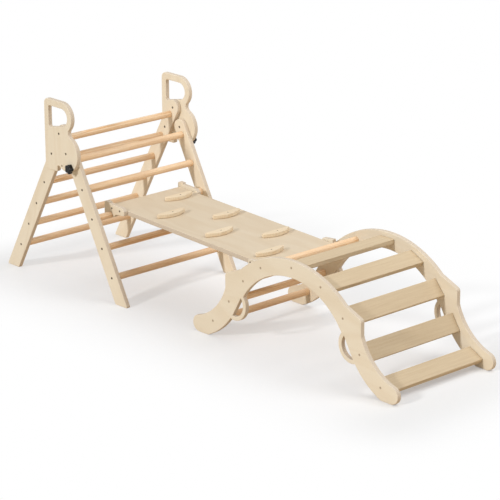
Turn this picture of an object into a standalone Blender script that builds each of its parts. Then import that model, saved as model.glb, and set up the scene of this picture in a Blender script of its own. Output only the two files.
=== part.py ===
# Wooden climbing set for small children: a folding climbing triangle, a ramp with
# holds that hooks on one of its rungs, and a low arch that carries the ramp's far end.
# Metres, +Z up. X runs along the set from the triangle to the arch, Y across it,
# and Z = 0 is the floor. The set's middle along X is at X = 0.

import math

import bmesh
import bpy
from mathutils import Matrix, Vector

# Stock and clearances shared by the whole set
plyThickness = 0.018
rodDiameter = 0.026
edgeRound = 0.0025
touchGap = 0.0003
overrun = 0.002
pointGap = 0.00025
weldGap = 0.00003
arcStepDeg = 9.0
smoothAngleDeg = 40.0
rodSides = 24
boltSides = 16

# Triangle frame
frameWidth = 0.564
pivotHeight = 0.5375
legWidth = 0.0622
leftLeanDeg = 29.15
rightLeanDeg = 28.3
legSpacing = 0.0692
leftTopRise = 0.0426
footCornerRound = 0.005
leftRungCount = 6
leftFirstRung = 0.0325
leftRungPitch = 0.110
rightRungCount = 5
rightFirstRung = 0.0307
rightRungPitch = 0.117
rampRungIndex = 2
foldDeg = 55.0

# Head plates, measured from the pivot
headLeftEdge = 0.1254
handleRadius = 0.060
handleCentreX = -0.0214
handleCentreZ = 0.1375
handleWall = 0.0265
handleSill = 0.0875
handleCornerRound = 0.022
gripCornerRound = 0.006
waistRound = 0.020
lobeRadius = 0.070
tailDrop = 0.0805
tailRightX = -0.0534
tailCornerRound = 0.008

# Head hardware
headScrewSpacing = 0.1003
headScrewDiameter = 0.005
headScrewHeadDiameter = 0.009
headScrewHeadHeight = 0.0025
headScrewTipShort = 0.0015
pivotBoltDiameter = 0.008
pivotHeadDiameter = 0.0105
pivotRunningGap = 0.0004
lockDistance = 0.059
lockBoltDiameter = 0.006
lockBoltInKnob = 0.010
lockInsertDiameter = 0.010
lockInsertLength = 0.013
knobDiameter = 0.038
knobHeight = 0.017
knobLobes = 5
knobLobeDepth = 0.0035
knobPoints = 40

# Arch
archWidth = 0.492
archHalfLength = 0.521
crownRadius = 0.405
innerHeight = 0.327
crownBand = 0.0635
innerRadius = 0.298
shoulderStart = 0.262
shoulderReach = 0.344
shoulderCornerHeight = 0.2605
shoulderCornerRound = 0.015
shoulderFoot = 0.205
flareRadius = 0.226
flareBand = 0.0775
toeRadius = 0.0315
ringCentreX = 0.297
ringCentreZ = 0.155
ringRadius = 0.062
ringWall = 0.016
gripChordOffset = 0.0156
gripChordTurnDeg = 210.0
crossInset = 0.037
flareInset = 0.0365
crownRodDegs = (118.0, 138.0)
flareRodDegs = (207.9, 236.4)
crownSlatDegs = (90.0, 64.2, 40.3)
flareSlatDegs = (213.1, 243.2)
slatWidth = 0.070
slatThickness = 0.018
slatRound = 0.003

# Ramp
rampWidth = 0.348
rampHookSpan = 0.806
rampOverhang = 0.0227
rampRound = 0.003
farHookDrop = 0.0379
hookClearance = 0.0015
hookOuterReach = 0.035
hookCrownReach = -0.008
hookCrownHeight = 0.017
hookShelfHeight = 0.011
hookShelfReach = 0.068
hookPlateReach = 0.080
hookProngDrop = 0.012
hookJawDrop = 0.004
hookJawReach = 0.021
hookSkirtReach = 0.030
hookSkirtDrop = 0.006
hookCornerRound = 0.006
hookCrownRound = 0.007
farHookOuterReach = 0.0215
farHookCrownHeight = 0.0125
farHookStartHeight = 0.0055
farHookStartReach = 0.034
farHookProngDrop = 0.001
farHookJawReach = 0.024
farHookOuterRound = 0.002
holdCount = 6
holdFirst = 0.082
holdLast = 0.044
holdSide = 0.078
holdLength = 0.135
holdWidth = 0.032
holdHeight = 0.017
holdBow = 0.010
holdPoints = 14
holdRound = 0.004


def clearScene():
    for item in list(bpy.data.objects):
        bpy.data.objects.remove(item, do_unlink=True)


def makeCollection(name):
    collection = bpy.data.collections.new(name)
    bpy.context.scene.collection.children.link(collection)
    return collection


def makeMaterial(name, colour, roughness, metallic=0.0):
    material = bpy.data.materials.new(name)
    material.use_nodes = True
    shader = material.node_tree.nodes["Principled BSDF"]
    shader.inputs["Base Color"].default_value = (*colour, 1.0)
    shader.inputs["Roughness"].default_value = roughness
    shader.inputs["Metallic"].default_value = metallic
    return material


# Plane geometry: points are (x, z) pairs, angles are degrees from +x towards +z.

def polar(centre, radius, degrees):
    angle = math.radians(degrees)
    return (centre[0] + radius * math.cos(angle), centre[1] + radius * math.sin(angle))


def angleOf(centre, point):
    return math.degrees(math.atan2(point[1] - centre[1], point[0] - centre[0]))


def distance(first, second):
    return math.hypot(second[0] - first[0], second[1] - first[1])


def arc(centre, radius, startDeg, endDeg):
    steps = max(2, math.ceil(abs(endDeg - startDeg) / arcStepDeg))
    turn = (endDeg - startDeg) / steps
    return [polar(centre, radius, startDeg + turn * index) for index in range(steps + 1)]


def arcTo(centre, radius, start, end, clockwise=True):
    first = angleOf(centre, start)
    last = angleOf(centre, end)
    if clockwise and last > first:
        last -= 360.0
    if not clockwise and last < first:
        last += 360.0
    return arc(centre, radius, first, last)


def meetCircles(first, firstRadius, second, secondRadius, side):
    gap = distance(first, second)
    along = (firstRadius ** 2 - secondRadius ** 2 + gap ** 2) / (2 * gap)
    across = math.sqrt(firstRadius ** 2 - along ** 2) * side
    ux = (second[0] - first[0]) / gap
    uz = (second[1] - first[1]) / gap
    return (first[0] + along * ux - across * uz, first[1] + along * uz + across * ux)


def roundCorner(before, corner, after, radius):
    toBefore = Vector((before[0] - corner[0], before[1] - corner[1]))
    toAfter = Vector((after[0] - corner[0], after[1] - corner[1]))
    half = toBefore.angle(toAfter) / 2
    reach = min(radius / math.tan(half), toBefore.length / 2, toAfter.length / 2)
    fillet = reach * math.tan(half)
    middle = (toBefore.normalized() + toAfter.normalized()).normalized() * (fillet / math.sin(half))
    centre = (corner[0] + middle.x, corner[1] + middle.y)
    start = Vector(corner) + toBefore.normalized() * reach
    end = Vector(corner) + toAfter.normalized() * reach
    first = angleOf(centre, start)
    turn = (angleOf(centre, end) - first + 180.0) % 360.0 - 180.0
    return arc(centre, fillet, first, first + turn)


def cleaned(points):
    kept = []
    for point in points:
        if not kept or distance(kept[-1], point) > pointGap:
            kept.append(point)
    if distance(kept[0], kept[-1]) < pointGap:
        kept.pop()
    return kept


def circle(centre, diameter):
    turn = 360.0 / boltSides
    return [polar(centre, diameter / 2, turn * index) for index in range(boltSides)]


def mirrored(points):
    return [(-x, z) for x, z in reversed(points)]


# Curves, meshes and the pieces made from them

def addSpline(curve, points):
    spline = curve.splines.new("POLY")
    spline.points.add(len(points) - 1)
    for place, (x, y) in zip(spline.points, points):
        place.co = (x, y, 0.0, 1.0)
    spline.use_cyclic_u = True


def meshFromCurve(name, curve, matrix, collection, material):
    guide = bpy.data.objects.new(name + "_outline", curve)
    collection.objects.link(guide)
    guide.matrix_world = matrix
    bpy.context.view_layer.update()
    evaluated = guide.evaluated_get(bpy.context.evaluated_depsgraph_get())
    mesh = bpy.data.meshes.new_from_object(evaluated)
    welded = bmesh.new()
    welded.from_mesh(mesh)
    bmesh.ops.remove_doubles(welded, verts=welded.verts, dist=weldGap)
    bmesh.ops.recalc_face_normals(welded, faces=welded.faces)
    welded.to_mesh(mesh)
    welded.free()
    bpy.data.objects.remove(guide, do_unlink=True)
    mesh.name = name
    return addMesh(name, mesh, matrix, collection, material)


def addMesh(name, mesh, matrix, collection, material):
    mesh.materials.clear()
    mesh.materials.append(material)
    item = bpy.data.objects.new(name, mesh)
    item.matrix_world = matrix
    collection.objects.link(item)
    return item


def flatPiece(name, outlines, thickness, rounding, matrix, collection, material):
    curve = bpy.data.curves.new(name + "_outline", "CURVE")
    curve.dimensions = "2D"
    curve.fill_mode = "BOTH"
    curve.extrude = thickness / 2 - rounding
    curve.bevel_depth = rounding
    curve.bevel_resolution = 0
    curve.offset = -rounding
    for points in outlines:
        addSpline(curve, cleaned(points))
    return meshFromCurve(name, curve, matrix, collection, material)


def smoothRound(mesh):
    mesh.shade_smooth()
    mesh.set_sharp_from_angle(angle=math.radians(smoothAngleDeg))


def roundBar(name, diameter, length, matrix, collection, material, sides=rodSides):
    mesh = bpy.data.meshes.new(name)
    shape = bmesh.new()
    bmesh.ops.create_cone(shape, cap_ends=True, segments=sides, radius1=diameter / 2,
                          radius2=diameter / 2, depth=length)
    shape.to_mesh(mesh)
    shape.free()
    smoothRound(mesh)
    return addMesh(name, mesh, matrix, collection, material)


def boxPiece(name, size, rounding, matrix, collection, material):
    mesh = bpy.data.meshes.new(name)
    shape = bmesh.new()
    bmesh.ops.create_cube(shape, size=1.0, matrix=Matrix.Diagonal((*size, 1.0)))
    shape.to_mesh(mesh)
    shape.free()
    item = addMesh(name, mesh, matrix, collection, material)
    bevel = item.modifiers.new("rounded_edges", "BEVEL")
    bevel.width = rounding
    bevel.segments = 1
    return item


def cut(item, cutter):
    boolean = item.modifiers.new("cut_" + cutter.name, "BOOLEAN")
    boolean.operation = "DIFFERENCE"
    boolean.solver = "EXACT"
    boolean.object = cutter
    cutter.hide_render = True
    cutter.display_type = "WIRE"


def acrossAxis(x, y, z):
    # Local Z of a bar lies along world Y
    return Matrix.Translation((x, y, z)) @ Matrix.Rotation(math.radians(90.0), 4, "X")


def uprightPlate(x, y, z):
    # A plate drawn in (x, z) stands upright, its thickness centred on y
    return Matrix.Translation((x, y, z)) @ Matrix.Rotation(math.radians(90.0), 4, "X")


# Places in the set's side view, before the set is centred on X

def leanVector(leanDeg):
    lean = math.radians(leanDeg)
    return (math.sin(lean), -math.cos(lean))


pivot = (0.0, pivotHeight)
rightDown = leanVector(rightLeanDeg)
leftDown = leanVector(-leftLeanDeg)


def along(start, direction, length):
    return (start[0] + direction[0] * length, start[1] + direction[1] * length)


def leftTopCentre():
    outward = (leftDown[1], -leftDown[0])
    beside = along(pivot, outward, legSpacing)
    return along(beside, leftDown, -leftTopRise)


leftTop = leftTopCentre()
leftRungs = [along(leftTop, leftDown, leftFirstRung + leftRungPitch * index)
             for index in range(leftRungCount)]
rightRungs = [along(pivot, rightDown, rightFirstRung + rightRungPitch * index)
              for index in range(rightRungCount)]
rampRung = rightRungs[rampRungIndex]

archHeight = innerHeight + crownBand
innerCentre = (0.0, innerHeight - innerRadius)
toeCentre = (archHalfLength - toeRadius, toeRadius)
shoulderLow = (shoulderReach, shoulderFoot)
flareCentre = meetCircles(toeCentre, flareRadius + toeRadius, shoulderLow, flareRadius, -1)
ringCentre = (ringCentreX, ringCentreZ)


def crossPlace(degrees, onFlare, leftSide):
    if onFlare:
        x, z = polar(flareCentre, flareRadius + flareInset, degrees)
        return (-x, z) if leftSide else (x, z)
    return polar(innerCentre, innerRadius + crossInset, degrees)


archRods = [crossPlace(flareRodDegs[1], True, True), crossPlace(flareRodDegs[0], True, True),
            crossPlace(crownRodDegs[1], False, True), crossPlace(crownRodDegs[0], False, True)]
archSlats = [(crossPlace(degrees, False, False), 90.0 - degrees) for degrees in crownSlatDegs]
archSlats += [(crossPlace(degrees, True, False), 270.0 - degrees) for degrees in flareSlatDegs]
hookRod = archRods[2]


# The ramp lies on the rung, and its far hooks lie on the arch's third rod.
nearHookDrop = rodDiameter / 2 + touchGap
hookRise = hookRod[1] - rampRung[1]
hookLine = math.hypot(rampHookSpan, farHookDrop - nearHookDrop)
rampTurn = math.asin(hookRise / hookLine) + math.atan2(farHookDrop - nearHookDrop, rampHookSpan)
archCentreX = rampRung[0] + math.sqrt(hookLine ** 2 - hookRise ** 2) - hookRod[0]


def legOutline(top, down):
    # A straight bar with a round top about its centre and a foot cut level with the floor
    side = (-down[1], down[0])
    half = legWidth / 2
    rightTop = along(top, side, half)
    leftEdge = along(top, side, -half)
    rightFoot = along(rightTop, down, rightTop[1] / -down[1])
    leftFoot = along(leftEdge, down, leftEdge[1] / -down[1])
    points = arcTo(top, half, leftEdge, rightTop)
    points += roundCorner(rightTop, rightFoot, leftFoot, footCornerRound)
    points += roundCorner(rightFoot, leftFoot, leftEdge, footCornerRound)
    return points


def setMiddleX():
    footEdge = min(x for x, z in cleaned(legOutline(leftTop, leftDown)))
    return (footEdge + archCentreX + archHalfLength) / 2


setShift = -setMiddleX()


def headOutline():
    # Drawn from the pivot: handle, waist, round lobe about the pivot, tail over the left leg
    handle = (handleCentreX, handleCentreZ)
    top = handleCentreZ + handleRadius
    topLeft = (-headLeftEdge, top)
    topEnd = (handleCentreX, top)
    tailLeft = (-headLeftEdge, -tailDrop)
    tailRight = (tailRightX, -tailDrop)
    waist = meetCircles(handle, handleRadius + waistRound, (0.0, 0.0), lobeRadius + waistRound, 1)
    handleEnd = polar(handle, handleRadius, angleOf(handle, waist))
    lobeStart = polar((0.0, 0.0), lobeRadius, angleOf((0.0, 0.0), waist))
    notchX = tailRightX + tailCornerRound
    notchReach = lobeRadius + tailCornerRound
    notch = (notchX, -math.sqrt(notchReach ** 2 - notchX ** 2))
    lobeEnd = polar((0.0, 0.0), lobeRadius, angleOf((0.0, 0.0), notch))
    tailUpper = (tailRightX, notch[1])
    points = roundCorner(tailLeft, topLeft, topEnd, handleCornerRound)
    points += arcTo(handle, handleRadius, topEnd, handleEnd)
    points += arcTo(waist, waistRound, handleEnd, lobeStart, clockwise=False)
    points += arcTo((0.0, 0.0), lobeRadius, lobeStart, lobeEnd)
    points += arcTo(notch, tailCornerRound, lobeEnd, tailUpper, clockwise=False)
    points += roundCorner(tailUpper, tailRight, tailLeft, tailCornerRound)
    points += roundCorner(tailRight, tailLeft, topLeft, tailCornerRound)
    return points


def handleHole():
    # The finger hole follows the handle, with a sill that rises to its round end
    handle = (handleCentreX, handleCentreZ)
    radius = handleRadius - handleWall
    left = -headLeftEdge + handleWall
    topLeft = (left, handleCentreZ + radius)
    topEnd = (handleCentreX, handleCentreZ + radius)
    sill = (left, handleSill)
    reach = distance(sill, handle)
    tangent = angleOf(handle, sill) + math.degrees(math.acos(radius / reach))
    sillEnd = polar(handle, radius, tangent)
    points = roundCorner(sill, topLeft, topEnd, gripCornerRound)
    points += arcTo(handle, radius, topEnd, sillEnd)
    points += roundCorner(sillEnd, sill, topLeft, gripCornerRound)
    return points


def lockPlace(leanDeg):
    return along((0.0, 0.0), leanVector(leanDeg), lockDistance)


def fromPivot(place):
    return (place[0] - pivot[0], place[1] - pivot[1])


headScrewPlaces = [leftTop, along(leftTop, leftDown, headScrewSpacing)]


def counterbore(item, name, place, diameter, depth, faceY, sideSign, cutters, material):
    middle = faceY + sideSign * (overrun - depth) / 2
    cutter = roundBar(name, diameter, depth + overrun, acrossAxis(place[0], middle, place[1]),
                      cutters, material, boltSides)
    cut(item, cutter)


def makeHeadPlate(label, sideSign, parts, cutters, materials):
    middleY = sideSign * (frameWidth / 2 + plyThickness / 2 + touchGap)
    outerY = sideSign * (frameWidth / 2 + plyThickness + touchGap)
    outlines = [headOutline(), handleHole()]
    outlines.append(circle((0.0, 0.0), pivotBoltDiameter + 2 * touchGap))
    for place in headScrewPlaces:
        outlines.append(circle(fromPivot(place), headScrewDiameter + 2 * touchGap))
    for leanDeg in (rightLeanDeg, rightLeanDeg - foldDeg):
        outlines.append(circle(lockPlace(leanDeg), lockBoltDiameter + 2 * touchGap))
    matrix = uprightPlate(setShift, middleY, pivotHeight)
    plate = flatPiece("head_plate_" + label, outlines, plyThickness, 0.0, matrix,
                      parts, materials["ply"])
    for index, place in enumerate(headScrewPlaces):
        spot = (place[0] + setShift, place[1])
        counterbore(plate, f"screw_seat_{label}_{index}", spot,
                    headScrewHeadDiameter + 2 * touchGap, headScrewHeadHeight + touchGap,
                    outerY, sideSign, cutters, materials["ply"])
    counterbore(plate, f"pivot_seat_{label}", (setShift, pivotHeight),
                pivotHeadDiameter + 2 * touchGap, headScrewHeadHeight + touchGap,
                outerY, sideSign, cutters, materials["ply"])
    return plate


def makeLeg(name, top, down, holes, sideSign, parts, materials):
    matrix = uprightPlate(setShift, sideSign * (frameWidth - plyThickness) / 2, 0.0)
    outlines = [legOutline(top, down)] + [circle(place, width) for place, width in holes]
    return flatPiece(name, outlines, plyThickness, 0.0, matrix, parts, materials["ply"])


def steppedBolt(name, place, outerY, sideSign, head, headHeight, shank, length, parts, material):
    # A turned bolt: its head lies flush in the outer face, its shank runs inwards
    mesh = bpy.data.meshes.new(name)
    shape = bmesh.new()
    profile = [(0.0, 0.0), (head / 2, 0.0), (head / 2, -headHeight), (shank / 2, -headHeight),
               (shank / 2, -length), (0.0, -length)]
    corners = [shape.verts.new((radius, 0.0, height)) for radius, height in profile]
    for first, second in zip(corners, corners[1:]):
        shape.edges.new((first, second))
    shape.to_mesh(mesh)
    shape.free()
    turn = Matrix.Rotation(math.radians(90.0 if sideSign < 0 else -90.0), 4, "X")
    matrix = Matrix.Translation((place[0] + setShift, outerY, place[1])) @ turn
    bolt = addMesh(name, mesh, matrix, parts, material)
    screw = bolt.modifiers.new("turned", "SCREW")
    screw.steps = boltSides
    screw.render_steps = boltSides
    screw.use_merge_vertices = True
    screw.merge_threshold = weldGap
    return bolt


def knobOutline():
    points = []
    for index in range(knobPoints):
        turn = 2 * math.pi * index / knobPoints
        radius = knobDiameter / 2 - knobLobeDepth * (1 - math.cos(knobLobes * turn)) / 2
        points.append((radius * math.cos(turn), radius * math.sin(turn)))
    return points


def makeKnob(label, sideSign, parts, cutters, materials):
    outerY = sideSign * (frameWidth / 2 + plyThickness + touchGap)
    x, z = lockPlace(rightLeanDeg)
    x += setShift
    z += pivotHeight
    knobY = outerY + sideSign * (touchGap + knobHeight / 2)
    knob = flatPiece("star_knob_" + label, [knobOutline()], knobHeight, edgeRound,
                     uprightPlate(x, knobY, z), parts, materials["knob"])
    seatDepth = lockBoltInKnob + touchGap + overrun
    seatY = outerY + sideSign * (seatDepth / 2 + touchGap - overrun)
    seat = roundBar(f"bolt_seat_{label}", lockBoltDiameter + 2 * touchGap, seatDepth,
                    acrossAxis(x, seatY, z), cutters, materials["knob"], boltSides)
    cut(knob, seat)
    length = lockBoltInKnob + plyThickness + touchGap
    boltY = outerY + sideSign * (touchGap + lockBoltInKnob - length / 2)
    return roundBar("lock_bolt_" + label, lockBoltDiameter, length,
                    acrossAxis(x, boltY, z), parts, materials["steel"], boltSides)


def makeLockInsert(label, sideSign, parts, materials):
    x, z = lockPlace(rightLeanDeg)
    middleY = sideSign * (frameWidth - lockInsertLength) / 2
    outlines = [circle((0.0, 0.0), lockInsertDiameter),
                circle((0.0, 0.0), lockBoltDiameter)]
    return flatPiece("lock_insert_" + label, outlines, lockInsertLength, 0.0,
                     uprightPlate(x + setShift, middleY, z + pivotHeight), parts, materials["steel"])


def makeRungs(prefix, places, parts, materials):
    length = frameWidth - 2 * plyThickness - 2 * touchGap
    for index, (x, z) in enumerate(places):
        roundBar(f"{prefix}_rung_{index + 1}", rodDiameter, length,
                 acrossAxis(x + setShift, 0.0, z), parts, materials["rod"])


def makeTriangle(parts, cutters, materials):
    outerFace = frameWidth / 2 + plyThickness + touchGap
    for label, sideSign in (("near", -1), ("far", 1)):
        makeHeadPlate(label, sideSign, parts, cutters, materials)
        screwHoles = [(place, headScrewDiameter + 2 * touchGap) for place in headScrewPlaces]
        makeLeg("left_leg_" + label, leftTop, leftDown, screwHoles, sideSign, parts, materials)
        lock = lockPlace(rightLeanDeg)
        boltHoles = [(pivot, pivotBoltDiameter + 2 * pivotRunningGap),
                     ((lock[0], lock[1] + pivotHeight), lockInsertDiameter + 2 * touchGap)]
        makeLeg("right_leg_" + label, pivot, rightDown, boltHoles, sideSign, parts, materials)
        length = 2 * plyThickness + touchGap - headScrewTipShort
        for index, place in enumerate(headScrewPlaces):
            steppedBolt(f"head_screw_{label}_{index + 1}", place, sideSign * outerFace, sideSign,
                        headScrewHeadDiameter, headScrewHeadHeight, headScrewDiameter, length,
                        parts, materials["steel"])
        steppedBolt("pivot_bolt_" + label, pivot, sideSign * outerFace, sideSign,
                    pivotHeadDiameter, headScrewHeadHeight, pivotBoltDiameter, length,
                    parts, materials["steel"])
        makeKnob(label, sideSign, parts, cutters, materials)
        makeLockInsert(label, sideSign, parts, materials)
    makeRungs("left", leftRungs, parts, materials)
    makeRungs("right", rightRungs, parts, materials)


def archHalf():
    # Right half of the side panel, from the top of the crown to the top of the inner arch
    crownCentre = (0.0, archHeight - crownRadius)
    crownEnd = (shoulderStart, crownCentre[1] + math.sqrt(crownRadius ** 2 - shoulderStart ** 2))
    shoulder = (shoulderReach, shoulderCornerHeight)
    toeTop = polar(flareCentre, flareRadius, angleOf(flareCentre, toeCentre))
    toeBottom = (toeCentre[0], 0.0)
    innerFlare = flareRadius + flareBand
    heel = (flareCentre[0] - math.sqrt(innerFlare ** 2 - flareCentre[1] ** 2), 0.0)
    ringLow = meetCircles(flareCentre, innerFlare, ringCentre, ringRadius, 1)
    ringHigh = meetCircles(innerCentre, innerRadius, ringCentre, ringRadius, 1)
    points = arcTo(crownCentre, crownRadius, (0.0, archHeight), crownEnd)
    points += roundCorner(crownEnd, shoulder, shoulderLow, shoulderCornerRound)
    points += arcTo(flareCentre, flareRadius, shoulderLow, toeTop, clockwise=False)
    points += arcTo(toeCentre, toeRadius, toeTop, toeBottom)
    points += arcTo(flareCentre, innerFlare, heel, ringLow)
    points += arcTo(ringCentre, ringRadius, ringLow, ringHigh)
    points += arcTo(innerCentre, innerRadius, ringHigh, (0.0, innerHeight), clockwise=False)
    return points


def gripHole():
    # A finger hole shaped like a D, its flat side towards the arch's middle
    radius = ringRadius - ringWall
    spread = math.degrees(math.acos(gripChordOffset / radius))
    return arc(ringCentre, radius, gripChordTurnDeg - spread, gripChordTurnDeg + spread)


def makeArch(parts, materials):
    half = archHalf()
    outline = half + mirrored(half)
    grip = gripHole()
    for label, sideSign in (("near", -1), ("far", 1)):
        matrix = uprightPlate(archCentreX + setShift, sideSign * (archWidth - plyThickness) / 2, 0.0)
        flatPiece("arch_panel_" + label, [outline, grip, mirrored(grip)], plyThickness,
                  edgeRound, matrix, parts, materials["ply"])
    length = archWidth - 2 * plyThickness - 2 * touchGap
    middleX = archCentreX + setShift
    for index, (x, z) in enumerate(archRods):
        roundBar(f"arch_rod_{index + 1}", rodDiameter, length,
                 acrossAxis(middleX + x, 0.0, z), parts, materials["rod"])
    for index, ((x, z), tiltDeg) in enumerate(archSlats):
        matrix = Matrix.Translation((middleX + x, 0.0, z))
        matrix = matrix @ Matrix.Rotation(math.radians(tiltDeg), 4, "Y")
        boxPiece(f"arch_slat_{index + 1}", (slatWidth, length, slatThickness), slatRound,
                 matrix, parts, materials["slat"])


def rampMatrix():
    # Local X runs down the ramp from the rung's axis, local Z = 0 is the board's underside
    matrix = Matrix.Translation((rampRung[0] + setShift, 0.0, rampRung[1]))
    matrix = matrix @ Matrix.Rotation(-rampTurn, 4, "Y")
    return matrix @ Matrix.Translation((0.0, 0.0, nearHookDrop))


def upperHookOutline():
    # x runs from the rung's axis along the board, z up from the board's underside
    seat = rodDiameter / 2 + hookClearance
    middle = -nearHookDrop - hookClearance + touchGap
    tip = middle - hookProngDrop
    jaw = middle - hookJawDrop
    crown = plyThickness + hookCrownHeight
    shelf = plyThickness + hookShelfHeight
    outerLow = (-hookOuterReach, tip)
    outerHigh = (-hookOuterReach, crown)
    crownEnd = (hookCrownReach, crown)
    shelfStart = (hookCrownReach, shelf)
    shelfEnd = (hookShelfReach, shelf)
    plateTop = (hookPlateReach, plyThickness)
    plateLow = (hookPlateReach, 0.0)
    skirt = (hookSkirtReach, -hookSkirtDrop)
    jawEnd = (hookJawReach, jaw)
    points = roundCorner((-seat, tip), outerLow, outerHigh, hookCornerRound)
    points += roundCorner(outerLow, outerHigh, crownEnd, hookCrownRound)
    points += roundCorner(outerHigh, crownEnd, shelfStart, hookClearance)
    points += roundCorner(crownEnd, shelfStart, shelfEnd, hookClearance)
    points += roundCorner(shelfStart, shelfEnd, plateTop, hookCrownRound)
    points += roundCorner(shelfEnd, plateTop, plateLow, hookClearance)
    points += roundCorner(plateTop, plateLow, skirt, hookCornerRound)
    points += roundCorner(plateLow, skirt, jawEnd, hookClearance)
    points += roundCorner(skirt, jawEnd, (seat, jaw), hookClearance)
    points += [(seat, jaw)]
    points += arc((0.0, middle), seat, 0.0, 180.0)
    points += roundCorner((-seat, middle), (-seat, tip), outerLow, hookClearance)
    return points


def lowerHookOutline():
    # x runs from the arch rod's axis back along the board, z up from the board's underside
    seat = rodDiameter / 2 + hookClearance
    middle = -farHookDrop - hookClearance + touchGap
    tip = middle - farHookProngDrop
    jaw = middle - hookJawDrop
    outerLow = (-farHookOuterReach, tip)
    outerHigh = (-farHookOuterReach, plyThickness + farHookCrownHeight)
    startHigh = (farHookStartReach, plyThickness + farHookStartHeight)
    startLow = (farHookStartReach, 0.0)
    jawEnd = (farHookJawReach, jaw)
    points = roundCorner((-seat, tip), outerLow, outerHigh, farHookOuterRound)
    points += roundCorner(outerLow, outerHigh, startHigh, farHookOuterRound)
    points += roundCorner(outerHigh, startHigh, startLow, hookCornerRound)
    points += roundCorner(startHigh, startLow, jawEnd, hookCornerRound)
    points += roundCorner(startLow, jawEnd, (seat, jaw), hookCornerRound)
    points += [(seat, jaw)]
    points += arc((0.0, middle), seat, 0.0, 180.0)
    points += [(-seat, tip)]
    return points


def makeHooks(base, parts, materials):
    for label, sideSign in (("near", -1), ("far", 1)):
        y = sideSign * (rampWidth / 2 + plyThickness / 2 + touchGap)
        upright = Matrix.Translation((0.0, y, 0.0)) @ Matrix.Rotation(math.radians(90.0), 4, "X")
        flatPiece("upper_hook_" + label, [upperHookOutline()], plyThickness, 0.0,
                  base @ upright, parts, materials["ply"])
        farEnd = Matrix.Translation((rampHookSpan, 0.0, 0.0)) @ upright
        turned = [(-x, z) for x, z in lowerHookOutline()]
        flatPiece("lower_hook_" + label, [turned], plyThickness, 0.0,
                  base @ farEnd, parts, materials["ply"])


def holdOutline():
    # A bowed block: both long sides follow the same bow, and its ends taper round
    points = []
    for side in (1, -1):
        for index in range(holdPoints):
            share = (index + 0.5) / holdPoints
            place = (0.5 - share) * holdLength * side
            bow = holdBow * math.cos(math.pi * place / holdLength)
            half = holdWidth / 2 * math.sqrt(math.sin(math.pi * share))
            points.append((bow + half * side, place))
    return points


def makeRamp(parts, materials):
    base = rampMatrix()
    length = rampHookSpan + 2 * rampOverhang
    middle = Matrix.Translation((rampHookSpan / 2, 0.0, plyThickness / 2))
    boxPiece("ramp_board", (length, rampWidth, plyThickness), rampRound, base @ middle,
             parts, materials["ply"])
    makeHooks(base, parts, materials)
    height = plyThickness + touchGap + holdHeight / 2
    pitch = (rampHookSpan - holdFirst - holdLast) / (holdCount - 1)
    for index in range(holdCount):
        side = 1 if index % 2 == 0 else -1
        place = Matrix.Translation((holdFirst + pitch * index, side * holdSide, height))
        flatPiece(f"ramp_hold_{index + 1}", [holdOutline()], holdHeight, holdRound,
                  base @ place, parts, materials["slat"])


def makeMaterials():
    return {
        "ply": makeMaterial("birch_plywood", (0.80, 0.68, 0.52), 0.55),
        "rod": makeMaterial("oiled_rod", (0.73, 0.46, 0.24), 0.5),
        "slat": makeMaterial("pine_slat", (0.70, 0.53, 0.34), 0.55),
        "knob": makeMaterial("black_plastic", (0.012, 0.012, 0.013), 0.4),
        "steel": makeMaterial("zinc_steel", (0.42, 0.36, 0.30), 0.45, 0.9),
    }


def carry(name, place, prefixes, parts):
    # An empty on a joint's axis carries the pieces that move about that axis
    axis = bpy.data.objects.new(name, None)
    axis.location = (place[0], 0.0, place[1])
    parts.objects.link(axis)
    bpy.context.view_layer.update()
    for item in parts.objects:
        if item.name.startswith(prefixes):
            item.parent = axis
            item.matrix_parent_inverse = axis.matrix_world.inverted()


def main():
    clearScene()
    parts = makeCollection("climbing_set")
    cutters = makeCollection("cutters")
    materials = makeMaterials()
    makeTriangle(parts, cutters, materials)
    makeArch(parts, materials)
    makeRamp(parts, materials)
    carry("axis_of_fold", (setShift, pivotHeight), ("left_", "head_", "pivot_bolt"), parts)
    carry("axis_of_ramp", (rampRung[0] + setShift, rampRung[1]), ("ramp_", "upper_", "lower_"), parts)
    carry("middle_of_arch", (archCentreX + setShift, 0.0), ("arch_",), parts)


main()
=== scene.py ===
import math
import random

import bmesh
import bpy
from mathutils import Matrix, Vector


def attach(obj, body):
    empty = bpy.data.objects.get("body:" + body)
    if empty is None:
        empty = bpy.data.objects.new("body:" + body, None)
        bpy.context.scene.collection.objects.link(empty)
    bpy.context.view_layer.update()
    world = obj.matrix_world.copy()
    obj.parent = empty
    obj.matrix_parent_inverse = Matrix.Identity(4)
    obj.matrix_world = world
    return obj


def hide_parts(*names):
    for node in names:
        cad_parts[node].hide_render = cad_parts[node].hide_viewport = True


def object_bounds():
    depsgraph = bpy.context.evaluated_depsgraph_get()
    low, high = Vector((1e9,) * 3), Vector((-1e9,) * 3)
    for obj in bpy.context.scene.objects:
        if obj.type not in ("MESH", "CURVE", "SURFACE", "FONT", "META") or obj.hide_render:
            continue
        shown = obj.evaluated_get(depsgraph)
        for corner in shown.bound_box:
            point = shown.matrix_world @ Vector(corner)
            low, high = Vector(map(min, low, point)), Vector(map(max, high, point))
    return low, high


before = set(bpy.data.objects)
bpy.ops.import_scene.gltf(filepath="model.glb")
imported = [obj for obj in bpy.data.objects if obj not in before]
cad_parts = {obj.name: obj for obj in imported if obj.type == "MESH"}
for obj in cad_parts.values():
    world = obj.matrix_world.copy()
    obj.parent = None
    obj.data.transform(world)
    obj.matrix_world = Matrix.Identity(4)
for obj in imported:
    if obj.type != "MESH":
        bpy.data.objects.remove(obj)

# Wooden climbing set: folding triangle, ramp with holds, low arch. Metres, +Z up.
# X runs from the triangle to the arch, Y across the set, the near side is -Y.

cadBox = [list(corner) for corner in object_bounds()]

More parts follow.
